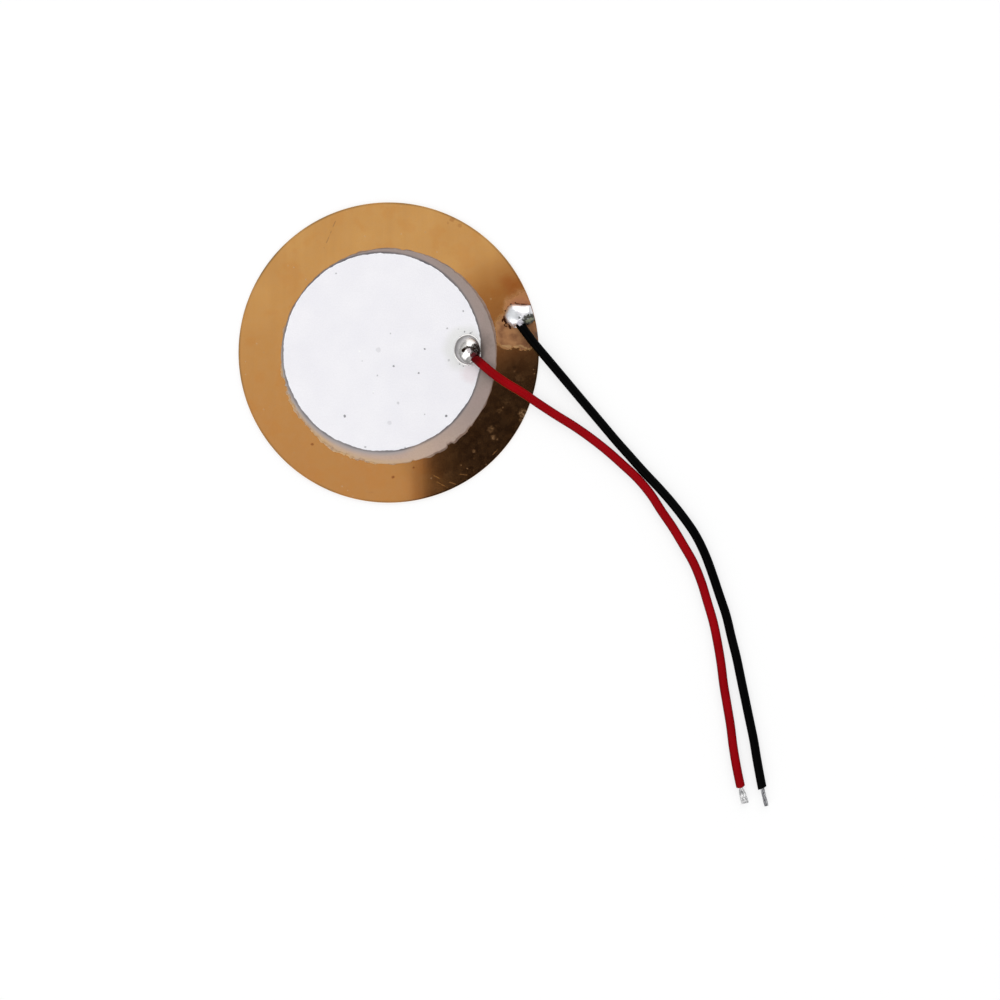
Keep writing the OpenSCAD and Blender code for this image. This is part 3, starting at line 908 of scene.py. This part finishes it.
# The plate's bead is cut off by the plate's own rim.
reach = around(turns_round, [
    (0, 1.85), (20, 1.85), (35, 1.9), (44, 1.8), (58, 1.53), (75, 1.35), (95, 1.35), (112, 1.52), (135, 1.7),
    (160, 1.72), (180, 1.76), (200, 1.7), (225, 1.58), (250, 1.52), (270, 1.3), (300, 1.2), (320, 1.48),
    (340, 1.8)])
reach *= 1 + 0.03 * wobble(turns_round, 16, 37) + 0.02 * wobble(turns_round, 60, 41)
ahead = outwards @ PLATE_PEAK
to_rim = -ahead + np.sqrt(ahead ** 2 - PLATE_PEAK @ PLATE_PEAK + (PLATE_RADIUS - 0.00006) ** 2)
foot = PLATE_PEAK + outwards * np.minimum(reach, to_rim)[:, None]
plate_bead = solder_bead(
    "plate_solder_bead", foot, PLATE_PEAK, PLATE_TOP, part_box("plate_solder")[1].z,
    lambda share: np.full(SOLDER_TURNS, max(0, 1 - (share / 0.99) ** 3.2) ** 0.5),
    [(14.7, 4.9, 0.7, 0.05), (16.1, 5.2, 0.4, -0.1), (16.5, 3.8, 0.5, 0.1), (14.8, 3, 0.3, -0.3)],
    [(0.1, 0.14, [(15.2, 4.1), (15.25, 3.95)]), (0.14, 0.16, [(15.65, 3.8), (16.1, 4.32), (16.7, 4.45)])])
dig_socket(plate_bead, BLACK_ROUTE)


def flecks(place, spots):
    """Small ragged spots on solder."""
    return blots(place, spots, 0.2, ragged=0.02, size=1.2, soft=0.5, torn=0.25)


def solder_finish(name, bright, grey, rough, crust, base, film, speckled, dark, matt):
    """Tin: bright and cloudy, painted grey reflection low down, painted dark reflection with burnt flux, matt
    places.
    """
    material, shader, place = finish(name, Specular_IOR_Level=0.25)
    clouds = mottled(place, 0.9, Contrast=2)
    streaks = mottled(place, 0.25, Stretch=(1, 3, 1), Detail=3, Contrast=1.6)
    height = axis(place, "Z")
    # Painted reflection: the bead turns grey low down, a little less right at the foot.
    painted_low_reflection = slope(height, base + 0.001, base, 0, film)
    painted_grey_reflection = painted_low_reflection * slope(height, base + 0.00002, base + 0.00006, 0.35)
    glints = mottled(place, 0.13, Contrast=3)
    # Painted dark reflection, with burnt flux in places: speckled patches broken by glints of bright tin, and
    # plain dark spots.
    speckled = flecks(place, speckled)
    burnt = most(speckled * slope(glints, 0.1, 0.3, 0.62), flecks(place, dark))
    colour = painted(mixed(clouds * 0.6, bright, grey), (streaks * 0.2, grey), (painted_grey_reflection, (132, 129, 130)),
                     (burnt, crust))
    # Matt places, some of them painted highlights, glints and reflections.
    metal = 1
    for paint, spots in matt:
        mask = flecks(place, spots)
        colour = mixed(mask, colour, paint)
        metal = (1 - mask * 0.85) * metal
    colour.feed(shader, "Base Color")
    metal.feed(shader, "Metallic")
    (streaks * 0.15 + rough + burnt * 0.25).feed(shader, "Roughness")
    bump(shader, streaks * 0.3 + clouds + glints * speckled * 2, 0.000004)
    return material


electrode_skin = solder_finish(
    "electrode_solder_skin", (226, 223, 219), (196, 193, 192), 0.1, (34, 22, 14), PRINT_TOP, 0.9,
    # Painted dark reflection: a speckled patch down the right side.
    [(10.25, 0.1, 0.62, 1), (10.1, 0.6, 0.42, 1), (10.3, -0.4, 0.42, 1), (9.8, 0.25, 0.3, 0.9),
     (9.8, -0.15, 0.34, 1)],
    # Painted dark reflection: a comma of dark spots over the top.
    [(8.68, 0.16, 0.2, 1), (8.79, 0.3, 0.17, 1), (8.93, 0.4, 0.18, 0.95), (9.08, 0.48, 0.19, 0.9),
     (9.23, 0.5, 0.21, 0.9), (9.38, 0.48, 0.22, 0.9), (9.53, 0.45, 0.23, 0.9), (9.68, 0.42, 0.24, 0.95),
     (9.8, 0.36, 0.26, 0.95)],
    # A pale pink painted highlight, and a dark red painted reflection of the red sleeve.
    [((226, 217, 218), [(9.33, 0.2, 0.24, 1), (9.45, 0.02, 0.2, 0.8)]),
     ((88, 9, 19), [(9.7, -0.44, 0.24, 0.95), (9.94, -0.28, 0.25, 0.95), (10.2, -0.2, 0.2, 0.6)])])
plate_skin = solder_finish(
    "plate_solder_skin", (246, 245, 248), (208, 208, 212), 0.36, (46, 46, 33), PLATE_TOP, 0.15,
    # Painted dark reflection over burnt flux, speckled and in spots, on the lobe right of the black lead.
    [(15.9, 3.65, 0.3, 1)],
    [(15.22, 4, 0.13, 0.8), (15.75, 3.7, 0.24, 0.9), (15.95, 4, 0.3, 0.9), (16.25, 4.12, 0.32, 0.95),
     (16.65, 4.2, 0.32, 0.95), (16.9, 3.95, 0.3, 0.9), (16.8, 3.6, 0.34, 0.9), (16.4, 3.6, 0.4, 0.9),
     (16.1, 3.4, 0.3, 0.9)],
    # Pale olive painted glints in that lobe, then two grey matt places.
    [((150, 152, 126), [(16.1, 3.56, 0.16, 0.6), (16.35, 3.7, 0.18, 0.75), (16.6, 3.85, 0.18, 0.75),
                        (16.8, 3.9, 0.14, 0.6), (16.5, 3.4, 0.13, 0.5)]),
     ((200, 196, 204), [(15.3, 3.35, 0.4, 0.9)]),
     ((198, 202, 204), [(14.4, 4.4, 0.6, 0.6), (14.9, 4.15, 0.4, 0.5)])])
for bead, node, solder in ((electrode_bead, "electrode_solder", electrode_skin),
                           (plate_bead, "plate_solder", plate_skin)):
    bead.data.materials.append(solder)
    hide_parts(node)
    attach(bead, "root")


# ---- The table and the light ----
# A plain white table that can't be seen from below, two large soft lamps behind and in front, and white all
# round. A dark board over the disc, which only gloss shows, stands for the dark part of a room.
TABLE_HALF = 2.5
TABLE_TOP = -0.00002
TABLE_GLOW = 0.71
ROOM_LIGHT = 0.45
BOARD_HEIGHT = 0.175
WHITE = (1, 1, 1, 1)


def flat_sheet(name, low, high, height):
    """A level sheet whose material has no shader yet: object, node tree and output node."""
    mesh = bpy.data.meshes.new(name)
    corners = (low[0], low[1]), (high[0], low[1]), (high[0], high[1]), (low[0], high[1])
    mesh.from_pydata([(*corner, height) for corner in corners], [], [(0, 1, 2, 3)])
    material = bpy.data.materials.new(name)
    material.use_nodes = True
    tree = material.node_tree
    tree.nodes.remove(tree.nodes["Principled BSDF"])
    mesh.materials.append(material)
    return new_object(name, mesh), tree, tree.nodes["Material Output"]


def soft_lamp(name, direction, size, watts):
    """A square soft lamp that faces the disc from 0.8 m."""
    lamp = bpy.data.lights.new(name, "AREA")
    lamp.size = size
    lamp.energy = watts
    holder = new_object(name, lamp)
    holder.location = Vector(direction).normalized() * 0.8
    holder.rotation_euler = Vector(direction).to_track_quat("Z", "Y").to_euler()


table, tree, end = flat_sheet("table", (-TABLE_HALF, -TABLE_HALF), (TABLE_HALF, TABLE_HALF), TABLE_TOP)
rays = add(tree, "LightPath")
seen = most(rays.out("Is Camera Ray"), rays.out("Is Glossy Ray"), rays.out("Is Transmission Ray"))
far = slope(length_of(add(tree, "TexCoord").out("Object")), 0.12, 0.3)
lit = add(tree, "BsdfDiffuse", {"Color": (0.32, 0.32, 0.32, 1)})
glow = add(tree, "Emission", {"Color": WHITE, "Strength": seen * TABLE_GLOW})
near = add(tree, "AddShader", {0: lit, 1: glow})
white = add(tree, "Emission", {"Color": WHITE})
faded = add(tree, "MixShader", {0: far * seen, 1: near, 2: white})
below = add(tree, "NewGeometry").out("Backfacing")
clear = add(tree, "BsdfTransparent")
add(tree, "MixShader", {0: below, 1: faded, 2: clear}).feed(end, "Surface")

world = bpy.data.worlds.new("white_room")
bpy.context.scene.world = world
world.use_nodes = True
back = world.node_tree.nodes["Background"]
back.inputs["Color"].default_value = WHITE
rays = add(world.node_tree, "LightPath")
toward = add(world.node_tree, "TexCoord").out("Generated")
gloss_light = slope(axis(toward, "Z"), 0, 0.7, 0.4, 1) * slope(axis(toward, "X"), 0.5, 0.95, 1, 0.7)
glossy = rays.out("Is Glossy Ray") * gloss_light
most(rays.out("Is Camera Ray"), rays.out("Is Transmission Ray"), glossy, ROOM_LIGHT).feed(back, "Strength")

soft_lamp("lamp_behind", (0.226, 0.817, 0.53), 1.2, 5.0)
soft_lamp("lamp_front", (-0.347, -0.64, 0.682), 0.95, 3.2)

# The board is darkest in front and at the right, and fades out to the left and the rear.
board, tree, end = flat_sheet("dark_board", (-0.01, -0.08), (0.08, 0.04), BOARD_HEIGHT)
spot = add(tree, "TexCoord").out("Object")
across = axis(spot, "X")
from_left = slope(across, -0.0034, 0.0011, 0, 0.95) + slope(across, 0.0011, 0.0045, 0, 0.05)
slanted = axis(spot, "Y") - (across - 0.0115) * 0.5
from_rear = slope(slanted, 0.0268, 0.0185, 0, 0.5) + slope(slanted, 0.019, 0.0015, 0, 0.5)
dark = worked("MINIMUM", from_left, from_rear)
ramp = add(tree, "ValToRGB", {"Fac": dark})
levels = [(0, WHITE), (0.25, (0.795, 0.7, 0.633, 1)), (0.5, (0.559, 0.419, 0.308, 1)),
          (0.7, (0.375, 0.287, 0.295, 1)), (0.88, (0.175, 0.137, 0.147, 1)), (1, (0.035, 0.033, 0.05, 1))]
elements = ramp.socket.node.color_ramp.elements
elements[0].color = levels[0][1]
elements[1].color = levels[-1][1]
for at, level in levels[1:-1]:
    elements.new(at).color = level
glow = add(tree, "Emission", {"Color": ramp})
clear = add(tree, "BsdfTransparent")
add(tree, "MixShader", {0: slope(dark, 0, 0.02), 1: clear, 2: glow}).feed(end, "Surface")
for kind in ("camera", "diffuse", "transmission", "shadow", "volume_scatter"):
    setattr(board, "visible_" + kind, False)
